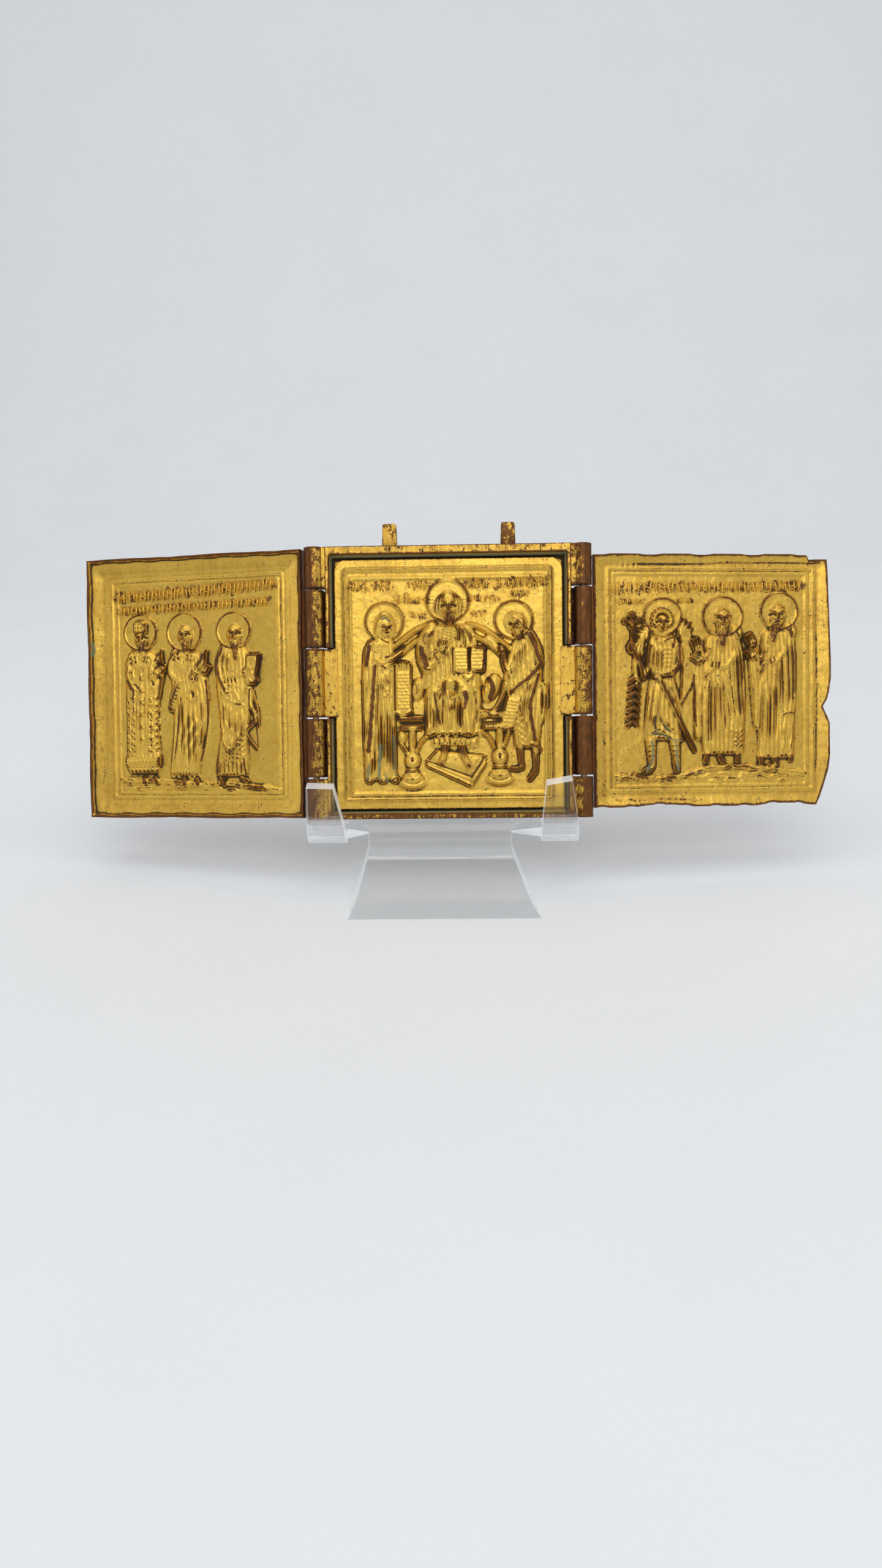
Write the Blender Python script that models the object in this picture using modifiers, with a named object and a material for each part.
"""A folding three-leaf icon of gilded brass, open on a clear bent easel.

Sizes below are in millimetres. Every piece is modelled in the leaf frame, where x runs to the right,
y points to the back and z runs up the leaf, with zero at the bottom of the middle leaf's back. That
frame then leans back as the easel holds it. The model's origin is the middle of the front foot.
"""

import math

import bmesh
import bpy
import numpy as np
from mathutils import Matrix, Vector

MM = 0.001

# Middle leaf: a shallow tray with a carved plate set in it
LEAF_HEIGHT = 65.0
HINGE_SPAN = 64.1
CASE_WIDTH = 58.5
CASE_DEPTH = 4.6
CASE_BACK = 1.0
RIM_SIDE = 1.6
RIM_TOP = 2.6
RIM_BOTTOM = 1.9
RIM_DRAFT = 0.7
FIT_GAP = 0.3
PLATE_THICKNESS = 1.0
PLATE_CORNER = 3.0

# Two plain lugs on the top rim
LUG_PLACES = (-13.8, 14.4)
LUG_WIDTH = 3.6
LUG_HEIGHT = 5.3
LUG_THICKNESS = 2.2

# Hinges: five knuckles on a pin, with the joints between them at these heights
KNUCKLE_JOINTS = (9.9, 24.3, 41.0, 55.0)
KNUCKLE_GAP = 0.4
AXIS_DEPTH = 2.6
LEFT_BARREL = 4.8
RIGHT_BARREL = 4.3
BORE_WIDTH = 2.1
PIN_WIDTH = 1.5
PIN_END_INSET = 0.5
BARREL_SIDES = 16
BORE_SIDES = 14
WEB_INTO_LEAF = 0.7
# How far each web goes in front of the hinge axis and behind it
CASE_WEB = (1.3, 1.6)
TONGUE_WEB = (0.3, 1.2)
LEFT_WEB = (0.9, 1.5)
RIGHT_WEB = (0.5, 1.0)

# Left wing: a tray with a raised lip
LEFT_WIDTH = 57.25
LEFT_HEIGHT = 64.5
LEFT_RISE = 0.25
LEFT_FROM_AXIS = 2.75
LEFT_BACK = 0.6
LEFT_THICKNESS = 1.7
LEFT_LIP = 2.0
LEFT_FOLD = 12.6

# Right wing: a thinner plate with a worn outer edge
RIGHT_WIDTH = 57.75
RIGHT_HEIGHT = 60.5
RIGHT_RISE = 2.1
RIGHT_FROM_AXIS = 2.5
RIGHT_BACK = 1.3
RIGHT_THICKNESS = 1.5
RIGHT_LIP = 0.7
RIGHT_FOLD = 7.2
# Places along the right wing's carving are given for a wing of this width
RIGHT_CARVED_WIDTH = 55.6

# Worn outer edge of the right wing: height on the wing, then how far it stands out past its width
WORN_EDGE = (
    (0.0, -3.2), (1.9, -2.1), (4.3, -1.3), (6.7, -0.6), (9.0, 0.0), (12.6, 0.4), (20.3, 0.3),
    (22.6, -0.6), (24.3, -1.3), (25.8, -0.5), (27.9, 0.1), (31.4, 0.6), (36.3, 0.6), (43.9, 0.3),
    (57.0, -0.2), (60.5, -0.4),
)
STRAIGHT_EDGE = ((0.0, 0.0), (1.0, 0.0))
WORN_CORNER_WIDTH = 5.6
WORN_CORNER_DROP = 1.2

# Easel: one clear sheet, bent and cut into two hooks, a foot, a back rest and a rear leg
SHEET = 3.0
LEAN = 18.0
REST_LEFT = -25.0
REST_RIGHT = 21.7
REST_HEIGHT = 47.0
HOOK_LEFT = (-34.0, -25.0)
HOOK_LEFT_TOP = (-33.3, -27.0)
HOOK_RIGHT = (21.7, 30.4)
HOOK_RIGHT_TOP = (22.6, 28.5)
HOOK_THROAT = 5.6
HOOK_FLARE = 27.0
HOOK_LEFT_RISE = (8.4, 8.2)
HOOK_RIGHT_RISE = (8.6, 9.6)
NECK_ANGLES = (195.0, 210.0, 225.0, 240.0)
FOOT_LEFT = (-20.0, -23.0)
FOOT_RIGHT = (14.8, 20.0)
TONGUE_DROP = 4.6
FOOT_SLOPE = 24.0
FOOT_BEND_RADIUS = 4.0
TOP_BEND_RADIUS = 5.0
TABLE_DROP = 15.5
REAR_LEG_SLOPE = 70.0
PAST_TABLE = 8.0

# Carving: the step between its points, and the share of its faces that is kept
CARVING_STEP = 0.5
CARVING_SHARE = 0.085


def smooth(value):
    """Ease a share from 0 to 1."""
    share = np.clip(value, 0.0, 1.0)
    return share * share * (3.0 - 2.0 * share)


class Carving:
    """Relief heights over the points of one leaf, in millimetres."""

    def __init__(self, across, up):
        self.across = across
        self.up = up
        self.height = np.zeros_like(across)

    def lay(self, form):
        """Lay a form on the ground, where it stands above what is there."""
        self.height = np.maximum(self.height, form)

    def cut(self, form):
        """Cut a groove into what stands above the ground."""
        self.height = np.where(self.height > 0.3, self.height - form, self.height)

    def path_share(self, path, width, end_width=None):
        """Give the distance from a path as a share of its half width."""
        end_width = width if end_width is None else end_width
        nearest = np.full_like(self.across, 9.0)
        spans = len(path) - 1
        for index in range(spans):
            x0, z0 = path[index]
            x1, z1 = path[index + 1]
            length = (x1 - x0) ** 2 + (z1 - z0) ** 2
            along = ((self.across - x0) * (x1 - x0) + (self.up - z0) * (z1 - z0)) / length
            along = np.clip(along, 0.0, 1.0)
            gap = np.hypot(self.across - x0 - along * (x1 - x0), self.up - z0 - along * (z1 - z0))
            half = 0.5 * (width + (end_width - width) * (index + along) / spans)
            nearest = np.minimum(nearest, gap / half)
        return nearest

    def limb(self, path, width, height, end_width=None):
        """Lay a rounded ridge, such as an arm, along a path."""
        share = np.clip(self.path_share(path, width, end_width), 0.0, 1.0)
        self.lay(height * np.sqrt(1.0 - share ** 2))

    def groove(self, path, width, depth):
        """Cut a rounded groove along a path."""
        share = np.clip(self.path_share(path, width), 0.0, 1.0)
        self.cut(depth * (1.0 - share ** 2))

    def oval(self, x, z, half_x, half_z, height, turn=0.0):
        """Lay a rounded boss."""
        turn = math.radians(turn)
        dx = self.across - x
        dz = self.up - z
        a = (dx * math.cos(turn) + dz * math.sin(turn)) / half_x
        b = (dz * math.cos(turn) - dx * math.sin(turn)) / half_z
        self.lay(height * np.sqrt(np.clip(1.0 - a * a - b * b, 0.0, 1.0)))

    def halo(self, x, z, radius):
        """Lay a flat disc with a raised rim."""
        gap = np.hypot(self.across - x, self.up - z)
        self.lay(0.45 * smooth((radius - gap) / 0.7))
        self.lay(0.75 * smooth(1.0 - np.abs(gap - radius + 0.5) / 0.75))

    def board(self, x, z, half_x, half_z, height, turn=0.0, edge=0.5):
        """Lay a flat block with sloped edges, such as a book."""
        turn = math.radians(turn)
        dx = self.across - x
        dz = self.up - z
        a = half_x - np.abs(dx * math.cos(turn) + dz * math.sin(turn))
        b = half_z - np.abs(dz * math.cos(turn) - dx * math.sin(turn))
        self.lay(height * smooth(np.minimum(a, b) / edge))

    def facet(self, corners, height, edge=0.6):
        """Lay a flat block over a convex outline whose corners run anticlockwise."""
        inside = np.full_like(self.across, 99.0)
        for index, (x0, z0) in enumerate(corners):
            x1, z1 = corners[(index + 1) % len(corners)]
            length = math.hypot(x1 - x0, z1 - z0)
            side = ((x1 - x0) * (self.up - z0) - (z1 - z0) * (self.across - x0)) / length
            inside = np.minimum(inside, side)
        self.lay(height * smooth(inside / edge))

    def robe(self, stations, height, folds=0, depth=0.3):
        """Lay a rounded body between two side edges, then cut long folds into it.

        stations run down the body, each as height, left edge and right edge.
        """
        levels = [row[0] for row in stations][::-1]
        left = np.interp(self.up, levels, [row[1] for row in stations][::-1])
        right = np.interp(self.up, levels, [row[2] for row in stations][::-1])
        share = (self.across - 0.5 * (left + right)) / (0.5 * (right - left))
        ends = smooth((self.up - levels[0]) / 0.8) * smooth((levels[-1] - self.up) / 1.6)
        self.lay(height * ends * np.clip(1.0 - share ** 4, 0.0, 1.0) ** 0.5)
        for fold in range(1, folds + 1):
            part = fold / (folds + 1)
            line = [(x0 + part * (x1 - x0), z) for z, x0, x1 in stations[1:]]
            self.groove(line, 1.0, depth)

    def head(self, x, z, width, beard=None):
        """Lay a plain head, with a beard that tapers to a point where one is given."""
        self.oval(x, z, width * 0.5, width * 0.62, 1.45)
        if beard:
            self.limb(((x, z - width * 0.3), beard), width * 0.75, 1.3, width * 0.25)

    def border(self, left, right, low, high, width, height, corner=0.0):
        """Lay a raised line around a rectangle."""
        half_x = 0.5 * (right - left) - corner
        half_z = 0.5 * (high - low) - corner
        dx = np.abs(self.across - 0.5 * (left + right)) - half_x
        dz = np.abs(self.up - 0.5 * (low + high)) - half_z
        gap = np.hypot(np.maximum(dx, 0.0), np.maximum(dz, 0.0)) + np.minimum(np.maximum(dx, dz), 0.0)
        self.lay(height * smooth(1.0 - np.abs(gap - corner) / width))

    def lip(self, left, right, low, high, width, height, margin, rise, corner):
        """Lay a lip around a leaf, with a margin that slopes from it down to the ground."""
        half_x = 0.5 * (right - left) - corner
        half_z = 0.5 * (high - low) - corner
        dx = np.abs(self.across - 0.5 * (left + right)) - half_x
        dz = np.abs(self.up - 0.5 * (low + high)) - half_z
        gap = np.hypot(np.maximum(dx, 0.0), np.maximum(dz, 0.0)) + np.minimum(np.maximum(dx, dz), 0.0)
        inside = corner - gap
        self.lay(rise * (1.0 - smooth((inside - width) / margin)))
        edge = np.minimum(np.minimum(self.across - left, right - self.across),
                          np.minimum(self.up - low, high - self.up))
        self.lay(height * (1.0 - smooth((edge - width) / 0.5)))


def carve_throne(carving):
    """Carve the seat, its beaded back, its turned legs and the footstool."""
    for path in (((-6.4, 45.8), (-13.6, 40.5)), ((-7.3, 42.0), (-11.1, 39.0)),
                 ((5.1, 46.0), (14.8, 39.7)), ((6.3, 43.3), (11.6, 40.5))):
        carving.limb(path, 1.5, 0.9)
    carving.board(-9.2, 22.9, 3.4, 1.6, 0.9)
    carving.board(11.5, 23.5, 3.8, 2.2, 0.9)
    carving.oval(-7.5, 31.0, 1.6, 2.4, 0.9)
    carving.oval(10.0, 31.4, 1.5, 3.4, 0.9)
    for side, curl in ((-8.9, -1.0), (12.0, 1.0)):
        carving.limb(((side, 21.0), (side, 15.8)), 2.0, 0.9)
        carving.oval(side, 14.2, 2.0, 1.9, 1.1)
        carving.limb(((side, 12.4), (side, 11.2)), 2.6, 0.9)
        carving.oval(side, 9.6, 2.8, 1.7, 1.0)
        carving.board(side, 7.9, 3.7, 1.0, 0.8)
        carving.limb(((side - 3.4 * curl, 20.2), (side - 1.4 * curl, 16.6)), 1.2, 0.7)
        carving.limb(((side + 2.4, 20.2), (side + 1.2, 17.0)), 1.0, 0.6)
    carving.facet(((-5.8, 12.7), (5.3, 7.2), (8.9, 13.2), (8.7, 15.0), (-3.2, 16.3), (-5.8, 14.2)), 0.7)
    carving.facet(((-5.8, 13.9), (5.3, 9.9), (8.7, 15.0), (-3.2, 16.3)), 1.0)


def carve_enthroned_figure(carving):
    """Carve the seated figure with a raised hand and an open book."""
    carving.halo(-0.1, 52.0, 5.2)
    carving.head(0.0, 50.3, 4.7, (0.2, 46.2))
    carving.robe(((46.6, -4.4, 4.6), (43.0, -6.6, 6.6), (37.0, -6.4, 7.0), (31.0, -6.6, 7.4)), 1.3)
    carving.robe(((32.0, -5.6, 6.4), (28.0, -6.4, 7.6), (23.0, -5.4, 7.0), (19.4, -4.2, 6.0)), 1.2, 5)
    carving.robe(((20.4, -3.8, 5.4), (16.9, -3.2, 5.2)), 0.9, 3)
    carving.oval(-3.7, 30.4, 2.5, 2.9, 1.5)
    carving.oval(4.2, 30.2, 2.6, 2.9, 1.5)
    carving.limb(((-6.0, 42.4), (-5.8, 36.0), (-2.6, 38.2)), 3.6, 1.5, 2.4)
    carving.oval(-1.3, 40.7, 1.1, 1.9, 1.6)
    carving.board(2.9, 37.8, 2.2, 3.1, 1.6, 4.0)
    carving.board(6.9, 37.6, 2.1, 3.1, 1.6, -6.0)
    carving.groove(((4.9, 40.6), (4.9, 34.4)), 0.8, 0.4)
    carving.oval(-1.5, 14.6, 1.0, 2.4, 1.4, -12.0)
    carving.oval(4.0, 14.2, 1.0, 2.4, 1.4, 8.0)


def carve_veiled_figure(carving):
    """Carve the veiled figure, who turns to the middle and holds a hanging scroll."""
    carving.halo(-15.3, 47.2, 4.7)
    carving.oval(-15.4, 46.3, 2.7, 3.2, 1.2)
    carving.head(-15.0, 45.9, 3.4)
    carving.robe(((42.8, -18.0, -13.4), (38.0, -20.6, -12.8), (27.0, -20.9, -13.0),
                  (16.0, -20.6, -12.9), (8.6, -19.6, -13.2)), 1.2, 3)
    carving.groove(((-17.5, 36.5), (-19.4, 16.1)), 1.7, 0.5)
    carving.limb(((-15.8, 37.4), (-11.5, 40.7)), 2.0, 1.5, 1.2)
    carving.limb(((-12.6, 37.0), (-10.6, 31.0), (-10.2, 25.6)), 2.4, 1.0)
    carving.oval(-18.0, 9.4, 1.4, 1.0, 1.1)
    carving.oval(-14.6, 9.2, 1.4, 1.0, 1.1)


def carve_standing_elder(carving):
    """Carve the long-haired standing figure, who turns to the middle."""
    carving.halo(15.6, 47.2, 4.7)
    carving.oval(16.8, 46.2, 2.7, 3.2, 1.2)
    carving.head(16.0, 45.8, 3.5, (17.0, 41.9))
    carving.robe(((43.0, 15.6, 20.8), (38.0, 13.4, 22.3), (30.0, 13.0, 22.3), (22.0, 14.4, 22.3),
                  (15.4, 14.8, 21.6)), 1.2, 3)
    carving.limb(((17.4, 37.8), (12.9, 40.3)), 2.2, 1.5, 1.3)
    carving.limb(((21.6, 37.0), (19.0, 32.0), (14.8, 30.3)), 2.6, 1.4, 1.6)
    carving.board(15.0, 25.6, 1.9, 4.3, 1.2, -14.0)
    carving.limb(((16.8, 16.0), (16.3, 12.0)), 1.8, 0.9, 1.3)
    carving.limb(((20.4, 16.0), (20.2, 9.8)), 1.8, 0.9, 1.3)
    carving.limb(((14.9, 11.4), (17.4, 12.0)), 1.4, 0.9)
    carving.limb(((19.0, 9.0), (20.6, 9.6)), 1.4, 0.9)


def carve_saint(carving, halo, head_width, beard, robe, hands, book, folds=4):
    """Carve one standing saint from the places of its halo, beard, robe, hands and book."""
    x, z, radius = halo
    carving.halo(x, z, radius)
    carving.robe(robe, 1.2, folds)
    carving.head(x, z - 1.1, head_width, beard)
    middle = 0.5 * (robe[1][1] + robe[1][2])
    for hand_x, hand_z in hands:
        shoulder = robe[1][1] + 1.2 if hand_x < middle else robe[1][2] - 1.2
        elbow_x = 0.6 * shoulder + 0.4 * hand_x
        carving.limb(((shoulder, z - 7.0), (elbow_x, hand_z - 2.6), (hand_x, hand_z)), 2.6, 1.45, 1.5)
    if book:
        carving.board(*book)
    foot_z = robe[-1][0] - 0.2
    low_left, low_right = robe[-1][1], robe[-1][2]
    for share in (0.3, 0.72):
        foot_x = low_left + share * (low_right - low_left)
        carving.oval(foot_x, foot_z, 1.3, 0.9, 1.1)


def carve_left_wing(carving):
    """Carve the three saints of the left wing between its double border lines."""
    carving.lip(0.0, LEFT_WIDTH, 0.0, LEFT_HEIGHT, 0.5, LEFT_LIP, 4.6, 0.9, 4.0)
    carving.border(6.1, 51.8, 5.2, 59.2, 0.5, 0.45)
    carving.border(7.7, 50.6, 6.2, 58.0, 0.45, 0.35)
    carving.limb(((8.0, 9.6), (20.0, 9.4), (30.0, 8.2), (50.0, 6.9)), 1.2, 0.5)
    carve_saint(carving, (13.9, 46.1, 4.6), 3.9, (14.5, 41.2),
                ((42.0, 11.8, 17.2), (37.5, 9.8, 19.3), (26.0, 9.5, 19.4), (10.8, 9.9, 18.9)),
                ((19.2, 36.6), (12.6, 34.0)), (19.4, 40.2, 1.1, 2.3, 1.5, -8.0))
    carving.limb(((12.2, 40.0), (14.3, 36.6), (14.3, 18.0)), 1.7, 1.45)
    carve_saint(carving, (25.8, 45.8, 4.8), 4.0, (26.2, 40.8),
                ((41.6, 23.2, 29.0), (37.0, 21.8, 31.2), (26.0, 21.6, 31.6), (10.3, 21.5, 29.3)),
                ((28.6, 35.2), (31.0, 36.7)), (30.4, 39.4, 1.8, 2.4, 1.5, -10.0))
    carving.limb(((24.0, 40.2), (26.4, 36.2), (26.2, 20.0)), 1.7, 1.45)
    carving.limb(((24.0, 33.5), (21.3, 27.2)), 2.0, 1.4)
    carve_saint(carving, (38.9, 45.8, 4.6), 3.9, (39.6, 38.2),
                ((41.6, 36.0, 42.0), (37.0, 34.3, 43.9), (26.0, 34.0, 43.8), (10.0, 33.3, 41.9)),
                ((42.0, 35.2), (43.8, 33.9)), (44.0, 36.6, 1.9, 3.8, 1.5, -6.0), 5)
    carving.limb(((42.8, 31.3), (45.1, 24.3), (41.8, 19.9), (44.5, 17.1)), 1.4, 0.9)


def carve_winged_guardian(carving):
    """Carve the winged guardian with a hand cross and a scabbard."""
    carving.halo(16.1, 45.5, 4.6)
    carving.oval(15.9, 44.9, 2.5, 2.6, 1.3)
    carving.head(15.9, 44.0, 3.4)
    carving.limb(((12.6, 41.0), (10.4, 42.0), (10.0, 36.0), (9.8, 20.0)), 2.8, 0.9, 1.4)
    carving.limb(((19.4, 41.0), (21.6, 43.0), (21.8, 34.0), (20.8, 24.0)), 3.2, 0.9, 1.6)
    carving.robe(((41.2, 13.4, 19.2), (37.0, 12.8, 19.8), (31.0, 13.2, 18.6)), 1.25)
    carving.robe(((31.4, 13.0, 18.6), (24.0, 11.8, 19.8), (15.6, 11.5, 20.3)), 1.15, 4)
    carving.limb(((13.0, 16.0), (12.8, 8.9)), 2.8, 1.1, 2.2)
    carving.limb(((19.2, 16.0), (19.6, 8.9)), 2.8, 1.1, 2.2)
    carving.limb(((15.4, 30.0), (23.7, 12.9)), 1.3, 1.4, 0.9)
    carving.limb(((13.0, 38.6), (11.4, 31.8), (8.7, 38.0)), 2.2, 1.45, 1.5)
    carving.limb(((8.8, 46.2), (8.6, 38.6)), 0.9, 1.2)
    carving.limb(((7.0, 44.3), (10.6, 44.3)), 0.9, 1.2)
    carving.limb(((19.4, 38.0), (19.4, 32.8), (15.4, 31.6)), 2.2, 1.45, 1.5)


def carve_right_wing(carving):
    """Carve the guardian and the two hooded monks of the right wing."""
    carving.lip(0.0, RIGHT_CARVED_WIDTH, 0.0, RIGHT_HEIGHT, 0.3, RIGHT_LIP, 2.6, 0.5, 3.0)
    carving.border(3.4, 52.0, 4.1, 57.0, 0.5, 0.45)
    carving.border(4.6, 50.2, 5.0, 55.8, 0.45, 0.35)
    carving.limb(((5.0, 7.6), (20.0, 6.6), (34.0, 9.0), (50.0, 7.4)), 1.2, 0.5)
    carve_winged_guardian(carving)
    carve_saint(carving, (30.3, 45.5, 4.9), 4.0, (29.9, 37.8),
                ((41.4, 26.8, 33.4), (37.0, 25.2, 35.4), (26.0, 24.4, 35.7), (12.2, 23.2, 35.2)),
                ((24.2, 38.6), (28.9, 34.2)), None, 5)
    carving.oval(26.4, 11.6, 1.3, 0.9, 1.0)
    carve_saint(carving, (43.8, 46.8, 4.6), 3.9, (41.4, 38.6),
                ((42.4, 40.4, 46.4), (37.0, 38.4, 47.4), (26.0, 38.0, 47.7), (11.2, 37.7, 47.2)),
                ((37.0, 39.6), (40.7, 35.1)), None, 5)
    carving.oval(45.2, 42.4, 2.2, 2.4, 1.2)


def carve_centre_plate(carving):
    """Carve the middle plate: double border lines and three figures about a throne."""
    carving.border(-24.9, 24.6, 4.6, 59.7, 0.55, 0.5)
    carving.border(-23.4, 23.1, 5.9, 57.5, 0.5, 0.35)
    carve_throne(carving)
    carve_veiled_figure(carving)
    carve_standing_elder(carving)
    carve_enthroned_figure(carving)


def new_collection(name):
    collection = bpy.data.collections.new(name)
    bpy.context.scene.collection.children.link(collection)
    return collection


def material(name, colour, metallic, roughness, alpha=1.0):
    made = bpy.data.materials.new(name)
    made.use_nodes = True
    shader = made.node_tree.nodes["Principled BSDF"]
    shader.inputs["Base Color"].default_value = (*colour, 1.0)
    shader.inputs["Metallic"].default_value = metallic
    shader.inputs["Roughness"].default_value = roughness
    shader.inputs["Alpha"].default_value = alpha
    return made


def new_object(name, bm, collection, parent, finish=None):
    """Turn a closed bmesh in millimetres into an object under a parent."""
    bmesh.ops.recalc_face_normals(bm, faces=bm.faces)
    bmesh.ops.scale(bm, vec=Vector((MM, MM, MM)), verts=bm.verts)
    mesh = bpy.data.meshes.new(name)
    bm.to_mesh(mesh)
    bm.free()
    made = bpy.data.objects.new(name, mesh)
    collection.objects.link(made)
    made.parent = parent
    if finish:
        mesh.materials.append(finish)
    else:
        made.hide_render = True
        made.display_type = "WIRE"
    return made


def new_empty(name, collection, parent, place, turn_axis, turn):
    """Make an empty at a place in millimetres, turned about one of its parent's axes."""
    empty = bpy.data.objects.new(name, None)
    collection.objects.link(empty)
    empty.parent = parent
    empty.location = Vector(place) * MM
    empty.rotation_euler = Matrix.Rotation(math.radians(turn), 3, turn_axis).to_euler()
    return empty


def block(name, low, high, collection, parent, finish=None):
    """Make a box between two corners."""
    bm = bmesh.new()
    low = Vector(low)
    high = Vector(high)
    shape = Matrix.Translation((low + high) / 2) @ Matrix.Diagonal((*(high - low), 1.0))
    bmesh.ops.create_cube(bm, size=1.0, matrix=shape)
    return new_object(name, bm, collection, parent, finish)


def rod(name, x, y, low, high, width, sides, collection, parent, finish=None):
    """Make an upright cylinder."""
    bm = bmesh.new()
    bmesh.ops.create_cone(bm, cap_ends=True, segments=sides, radius1=width / 2, radius2=width / 2,
                          depth=high - low, matrix=Matrix.Translation((x, y, (low + high) / 2)))
    return new_object(name, bm, collection, parent, finish)


def prism(name, outline, low, high, collection, parent):
    """Make an upright solid from a flat outline."""
    bm = bmesh.new()
    face = bm.faces.new([bm.verts.new((x, y, low)) for x, y in outline])
    raised = bmesh.ops.extrude_face_region(bm, geom=[face])
    lifted = [item for item in raised["geom"] if isinstance(item, bmesh.types.BMVert)]
    bmesh.ops.translate(bm, vec=(0.0, 0.0, high - low), verts=lifted)
    return new_object(name, bm, collection, parent)


def boolean(target, operand, operation):
    step = target.modifiers.new(operand.name, "BOOLEAN")
    step.object = operand
    step.operation = operation
    step.solver = "EXACT"


def knuckle_levels(order):
    """Give the lower and upper end of a knuckle, counted from the bottom of the leaf."""
    ends = (0.0, *KNUCKLE_JOINTS, LEAF_HEIGHT)
    low = ends[order] + (KNUCKLE_GAP / 2 if order > 0 else 0.0)
    high = ends[order + 1] - (KNUCKLE_GAP / 2 if order < 4 else 0.0)
    return low, high


def knuckle(name, axis, toward, reach, web, barrel, order, shapes, parent):
    """Make a barrel about a hinge axis, with a web that reaches into its leaf.

    axis is the hinge's x and y in the parent's frame, toward is 1 or -1 for the side of the leaf, and
    web gives how far the web goes in front of the axis and behind it.
    """
    radius = barrel / 2
    first = math.asin(web[0] / radius)
    sweep = 2 * math.pi - first - math.asin(web[1] / radius)
    outline = [(radius * math.cos(first + sweep * step / BARREL_SIDES),
                -radius * math.sin(first + sweep * step / BARREL_SIDES))
               for step in range(BARREL_SIDES + 1)]
    outline += [(reach, web[1]), (reach, -web[0])]
    placed = [(axis[0] + toward * x, axis[1] + y) for x, y in outline]
    return prism(name, placed, *knuckle_levels(order), shapes, parent)


def carved_grid(left, width, low, height, front, datum, spread, carve, corner, edge):
    """Make the carved face of a leaf as an open sheet, and thin it where it is plain."""
    bm = bmesh.new()
    bmesh.ops.create_grid(bm, x_segments=int(width / CARVING_STEP), y_segments=int(height / CARVING_STEP),
                          size=0.5)
    share_x = np.array([point.co.x + 0.5 for point in bm.verts])
    share_z = np.array([point.co.y + 0.5 for point in bm.verts])
    up = share_z * height
    over = np.clip(up - (height - corner), 0.0, corner)
    inset = corner - np.sqrt(corner ** 2 - over ** 2)
    grown = np.interp(up, [row[0] for row in edge], [row[1] for row in edge])
    across = inset + share_x * (width + grown - 2 * inset)
    if edge is WORN_EDGE:
        up = up - share_z * WORN_CORNER_DROP * smooth((across - width + WORN_CORNER_WIDTH) / 0.8)
    x = left + across
    z = low + up
    carving = Carving((x - datum[0]) / spread, z - datum[1])
    carve(carving)
    for index, point in enumerate(bm.verts):
        point.co = (x[index], -front - carving.height[index], z[index])
    draft = bpy.data.objects.new("draft", bpy.data.meshes.new("draft"))
    bm.to_mesh(draft.data)
    bm.free()
    bpy.context.scene.collection.objects.link(draft)
    draft.modifiers.new("thin", "DECIMATE").ratio = CARVING_SHARE
    thinned = bmesh.new()
    thinned.from_object(draft, bpy.context.evaluated_depsgraph_get())
    bpy.data.objects.remove(draft)
    return thinned


def carved_leaf(name, left, width, low, height, front, back, carve, collection, parent, finish,
                datum=(0.0, 0.0), spread=1.0, corner=0.0, edge=STRAIGHT_EDGE):
    """Make a leaf whose front is carved and whose sides and back are plain.

    front and back are the depths of its ground and its back in the parent's frame, datum is where the
    carving's own places count from, and edge gives how far its right side stands out at each height.
    """
    bm = carved_grid(left, width, low, height, front, datum, spread, carve, corner, edge)
    walls = bmesh.ops.extrude_edge_only(bm, edges=[line for line in bm.edges if line.is_boundary])
    for item in walls["geom"]:
        if isinstance(item, bmesh.types.BMVert):
            item.co.y = -back
    bmesh.ops.holes_fill(bm, edges=[line for line in bm.edges if line.is_boundary], sides=0)
    return new_object(name, bm, collection, parent, finish)


def make_case(collection, shapes, frame, bores, finish):
    """Make the middle tray with its outer knuckles and its two lugs."""
    half = CASE_WIDTH / 2
    inner = half - RIM_SIDE
    top = LEAF_HEIGHT - RIM_TOP
    past = 1.0
    case = block("centre_case", (-half, -CASE_DEPTH, 0.0), (half, 0.0, LEAF_HEIGHT), collection, frame,
                 finish)
    hollow = block("case_hollow", (-inner, -CASE_DEPTH - past, RIM_BOTTOM), (inner, -CASE_BACK, top), shapes,
                   frame)
    draft = RIM_DRAFT * (CASE_DEPTH + past - CASE_BACK) / (CASE_DEPTH - CASE_BACK) * MM
    for point in hollow.data.vertices:
        if point.co.y < -CASE_DEPTH * MM:
            point.co.x += math.copysign(draft, point.co.x)
            point.co.z += math.copysign(draft, point.co.z - LEAF_HEIGHT / 2 * MM)
    boolean(case, hollow, "DIFFERENCE")
    notch_low, notch_high = knuckle_levels(2)
    for side, barrel, bore in ((-1, LEFT_BARREL, bores[0]), (1, RIGHT_BARREL, bores[1])):
        ends = sorted((side * (inner - past), side * (half + past)))
        notch = block(f"tongue_notch_{side}", (ends[0], -CASE_DEPTH - past, notch_low - FIT_GAP),
                      (ends[1], -CASE_BACK, notch_high + FIT_GAP), shapes, frame)
        boolean(case, notch, "DIFFERENCE")
        reach = HINGE_SPAN / 2 - half + WEB_INTO_LEAF
        for order in (0, 4):
            piece = knuckle(f"case_knuckle_{side}_{order}", (side * HINGE_SPAN / 2, -AXIS_DEPTH), -side,
                            reach, CASE_WEB, barrel, order, shapes, frame)
            boolean(case, piece, "UNION")
        boolean(case, bore, "DIFFERENCE")
    for place in LUG_PLACES:
        lug = block(f"lug_{place}", (place - LUG_WIDTH / 2, -CASE_BACK - LUG_THICKNESS, LEAF_HEIGHT - past),
                    (place + LUG_WIDTH / 2, -CASE_BACK, LEAF_HEIGHT + LUG_HEIGHT), shapes, frame)
        boolean(case, lug, "UNION")


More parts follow.
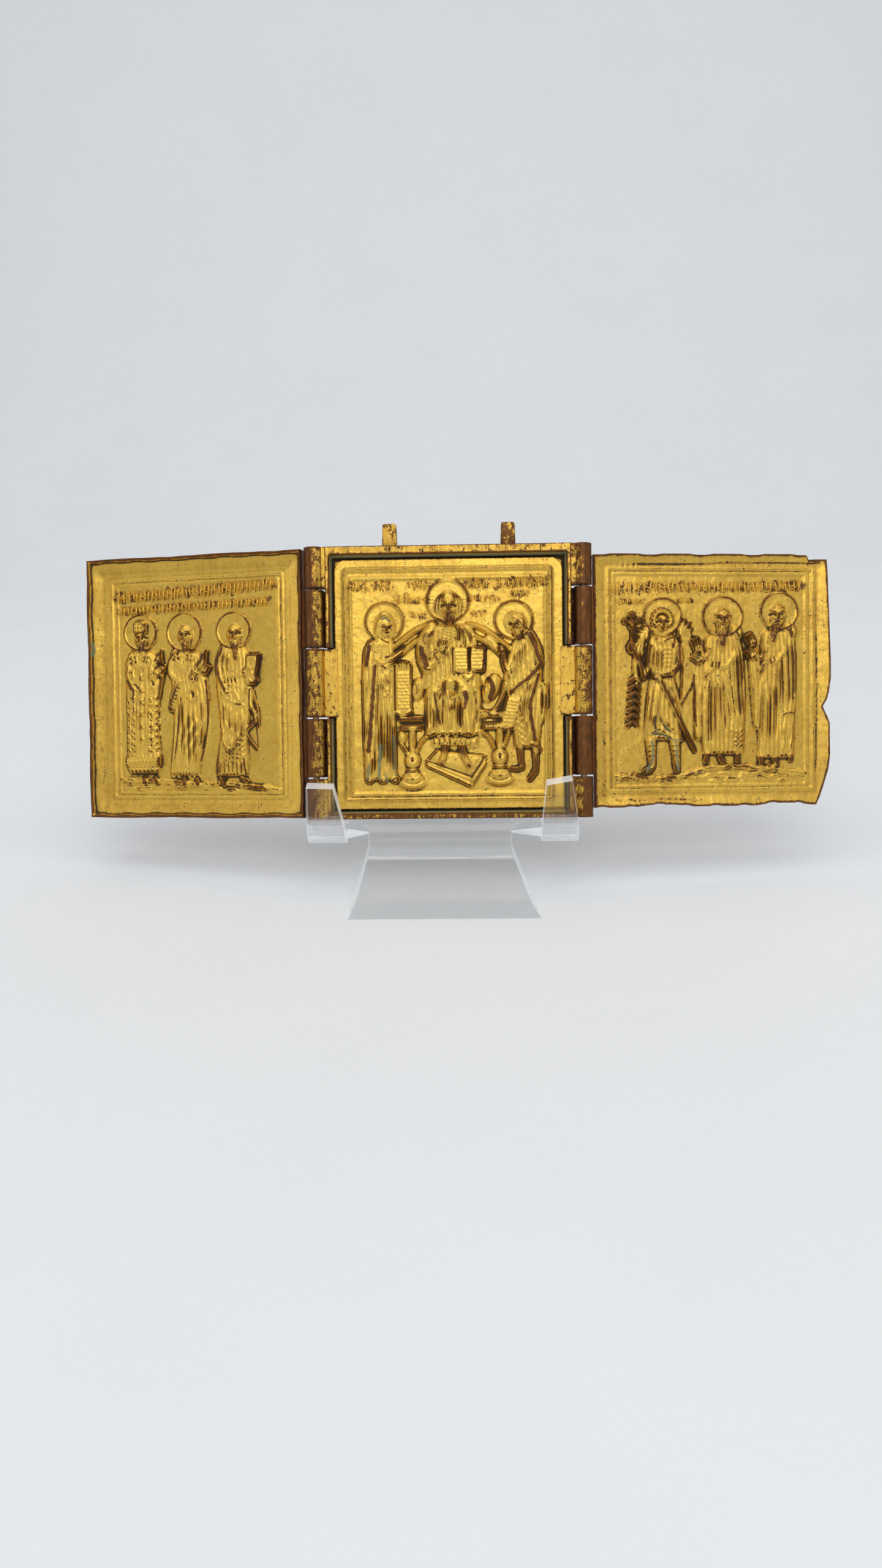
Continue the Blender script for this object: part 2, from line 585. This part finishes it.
def make_plate(collection, shapes, frame, bores, finish):
    """Make the carved plate that lies in the tray, with a tongue to each hinge."""
    half = CASE_WIDTH / 2 - RIM_SIDE - FIT_GAP
    low = RIM_BOTTOM + FIT_GAP
    back = CASE_BACK + FIT_GAP
    plate = carved_leaf("centre_plate", -half, 2 * half, low, LEAF_HEIGHT - RIM_TOP - FIT_GAP - low,
                        back + PLATE_THICKNESS, back, carve_centre_plate, collection, frame, finish,
                        corner=PLATE_CORNER)
    reach = HINGE_SPAN / 2 - half + WEB_INTO_LEAF
    for side, barrel, bore in ((-1, LEFT_BARREL, bores[0]), (1, RIGHT_BARREL, bores[1])):
        piece = knuckle(f"tongue_{side}", (side * HINGE_SPAN / 2, -AXIS_DEPTH), -side, reach, TONGUE_WEB,
                        barrel, 2, shapes, frame)
        boolean(plate, piece, "UNION")
        boolean(plate, bore, "DIFFERENCE")


def add_wing_knuckles(wing, side, from_axis, web, barrel, bore, shapes, hinge):
    """Join a wing to its two knuckles about the hinge's own frame, and bore them."""
    for order in (1, 3):
        piece = knuckle(f"{wing.name}_knuckle_{order}", (0.0, 0.0), side, from_axis + WEB_INTO_LEAF, web,
                        barrel, order, shapes, hinge)
        boolean(wing, piece, "UNION")
    boolean(wing, bore, "DIFFERENCE")


def make_left_wing(collection, shapes, frame, bore, finish):
    """Make the left wing in a frame on its hinge axis, folded back as it rests."""
    hinge = new_empty("left_hinge", collection, frame, (-HINGE_SPAN / 2, -AXIS_DEPTH, 0.0), "Z", -LEFT_FOLD)
    left = -LEFT_FROM_AXIS - LEFT_WIDTH
    wing = carved_leaf("left_wing", left, LEFT_WIDTH, LEFT_RISE, LEFT_HEIGHT,
                       LEFT_BACK + LEFT_THICKNESS - AXIS_DEPTH, LEFT_BACK - AXIS_DEPTH, carve_left_wing,
                       collection, hinge, finish, (left, LEFT_RISE))
    add_wing_knuckles(wing, -1, LEFT_FROM_AXIS, LEFT_WEB, LEFT_BARREL, bore, shapes, hinge)


def make_right_wing(collection, shapes, frame, bore, finish):
    """Make the right wing in a frame on its hinge axis, folded back as it rests."""
    hinge = new_empty("right_hinge", collection, frame, (HINGE_SPAN / 2, -AXIS_DEPTH, 0.0), "Z", RIGHT_FOLD)
    wing = carved_leaf("right_wing", RIGHT_FROM_AXIS, RIGHT_WIDTH, RIGHT_RISE, RIGHT_HEIGHT,
                       RIGHT_BACK + RIGHT_THICKNESS - AXIS_DEPTH, RIGHT_BACK - AXIS_DEPTH, carve_right_wing,
                       collection, hinge, finish, (RIGHT_FROM_AXIS, RIGHT_RISE),
                       RIGHT_WIDTH / RIGHT_CARVED_WIDTH, edge=WORN_EDGE)
    add_wing_knuckles(wing, 1, RIGHT_FROM_AXIS, RIGHT_WEB, RIGHT_BARREL, bore, shapes, hinge)


def arc(centre, radius, angles):
    """Give the points of an arc, each as depth forward and height."""
    return [(centre[0] + radius * math.cos(math.radians(angle)),
             centre[1] + radius * math.sin(math.radians(angle))) for angle in angles]


def steps(first, last, count):
    """Give evenly spaced angles after the first, up to the last."""
    return [first + (last - first) * step / count for step in range(1, count + 1)]


def onward(point, angle, length):
    """Give the point that lies a length away from another, at an angle in the leaf frame."""
    angle = math.radians(angle)
    return point[0] + length * math.cos(angle), point[1] + length * math.sin(angle)


def drop_to_table(point, slope_angle):
    """Give the length from a point of the sheet down to the table, at an angle in the leaf frame."""
    lean = math.radians(LEAN)
    height = point[0] * math.sin(lean) + point[1] * math.cos(lean) + TABLE_DROP
    return height / -math.sin(math.radians(slope_angle + LEAN))


def sheet_paths():
    """Work out the paths of the easel's sheet in the leaf frame, each a list of depth and height."""
    rest = -FIT_GAP - SHEET / 2
    rear_angle = 180.0 + REAR_LEG_SLOPE - LEAN
    over = arc((rest - TOP_BEND_RADIUS, REST_HEIGHT), TOP_BEND_RADIUS, [0.0] + steps(0.0, rear_angle - 90.0, 6))
    rear = onward(over[-1], rear_angle, drop_to_table(over[-1], rear_angle) + PAST_TABLE)
    back = [rear] + over[::-1] + [(rest, 0.0)]
    hook_centre = (HOOK_THROAT / 2 - FIT_GAP, 0.0)
    hook_radius = (HOOK_THROAT + SHEET) / 2
    neck = arc(hook_centre, hook_radius, NECK_ANGLES)
    hook = arc(hook_centre, hook_radius, steps(NECK_ANGLES[-1], 360.0 - HOOK_FLARE, 6))
    foot_angle = -FOOT_SLOPE - LEAN
    foot = arc((rest + FOOT_BEND_RADIUS, -TONGUE_DROP), FOOT_BEND_RADIUS,
               [180.0] + steps(180.0, 270.0 + foot_angle, 6))
    landing = onward(foot[-1], foot_angle, drop_to_table(foot[-1], foot_angle))
    return back, neck, hook, foot, landing, foot_angle


def make_stand(collection, shapes, frame, clear):
    """Make the easel from one open surface along the middle of its sheet, then give it its thickness."""
    back, neck, hook, foot, landing, foot_angle = sheet_paths()
    bm = bmesh.new()

    def row(places):
        return [bm.verts.new((x, -depth, height)) for x, (depth, height) in places]

    def join(lower, upper):
        for index in range(len(lower) - 1):
            bm.faces.new((lower[index], lower[index + 1], upper[index + 1], upper[index]))

    inner_edges = (REST_LEFT, FOOT_LEFT[0], FOOT_RIGHT[0], REST_RIGHT)
    above = None
    for point in back:
        below = row([(x, point) for x in inner_edges])
        if above:
            join(above, below)
        above = below
    rest = back[-1][0]
    for index, point in enumerate(neck):
        straight = (rest, point[1])
        below = row([(HOOK_LEFT[0], point), (HOOK_LEFT[1], point), (FOOT_LEFT[0], straight),
                     (FOOT_RIGHT[0], straight), (HOOK_RIGHT[0], point), (HOOK_RIGHT[1], point)])
        join(above, below[1:5] if index == 0 else below)
        above = below
    grow_hook(bm, above[:2], hook, HOOK_LEFT, HOOK_LEFT_TOP, HOOK_LEFT_RISE)
    grow_hook(bm, above[4:], hook, HOOK_RIGHT, HOOK_RIGHT_TOP, HOOK_RIGHT_RISE)
    above = above[2:4]
    reach = math.dist(foot[-1], landing)
    for point in [*foot, landing, onward(landing, foot_angle, PAST_TABLE)]:
        share = math.dist(point, foot[-1]) / reach if point not in foot else 0.0
        below = row([(FOOT_LEFT[0] + (FOOT_LEFT[1] - FOOT_LEFT[0]) * share, point),
                     (FOOT_RIGHT[0] + (FOOT_RIGHT[1] - FOOT_RIGHT[0]) * share, point)])
        join(above, below)
        above = below
    stand = new_object("stand", bm, collection, frame, clear)
    thickness = stand.modifiers.new("sheet_thickness", "SOLIDIFY")
    thickness.thickness = SHEET * MM
    thickness.offset = 0.0
    thickness.use_even_offset = True
    table = block("below_table", (-150.0, -150.0, -60.0), (150.0, 150.0, 0.0), shapes, None)
    boolean(stand, table, "DIFFERENCE")


def grow_hook(bm, start, path, bottom, top, rises):
    """Add a hook's two side edges from the neck round under the leaf and up, and the faces between."""
    turned = [start]
    for point in path:
        turned.append([bm.verts.new((x, -point[0], point[1])) for x in bottom])
    flare = math.radians(HOOK_FLARE)
    last = path[-1]
    tips = []
    for x, rise in zip(top, rises):
        tips.append(bm.verts.new((x, -last[0] - (rise - last[1]) * math.tan(flare), rise)))
    turned.append(tips)
    for lower, upper in zip(turned, turned[1:]):
        bm.faces.new((lower[0], lower[1], upper[1], upper[0]))


def build():
    for old in list(bpy.data.objects):
        bpy.data.objects.remove(old)
    collection = new_collection("folding_icon")
    shapes = new_collection("fitting_shapes")
    gilding = material("gilded_brass", (0.60, 0.38, 0.08), 1.0, 0.34)
    bare = material("worn_brass", (0.26, 0.13, 0.06), 1.0, 0.42)
    clear = material("clear_acrylic", (0.92, 0.95, 0.96), 0.0, 0.05, 0.3)
    lean = math.radians(LEAN)
    landing = sheet_paths()[4]
    forward = landing[0] * math.cos(lean) - landing[1] * math.sin(lean)
    place = (-(FOOT_LEFT[1] + FOOT_RIGHT[1]) / 2, forward, TABLE_DROP)
    frame = new_empty("leaf_frame", collection, None, place, "X", -LEAN)
    bores = [rod(f"bore_{side}", side * HINGE_SPAN / 2, -AXIS_DEPTH, -2.0, LEAF_HEIGHT + 2.0, BORE_WIDTH,
                 BORE_SIDES, shapes, frame) for side in (-1, 1)]
    make_case(collection, shapes, frame, bores, gilding)
    make_plate(collection, shapes, frame, bores, gilding)
    make_left_wing(collection, shapes, frame, bores[0], gilding)
    make_right_wing(collection, shapes, frame, bores[1], gilding)
    for side, name in ((-1, "left_pin"), (1, "right_pin")):
        rod(name, side * HINGE_SPAN / 2, -AXIS_DEPTH, PIN_END_INSET, LEAF_HEIGHT - PIN_END_INSET, PIN_WIDTH,
            BORE_SIDES, collection, frame, bare)
    make_stand(collection, shapes, frame, clear)


build()
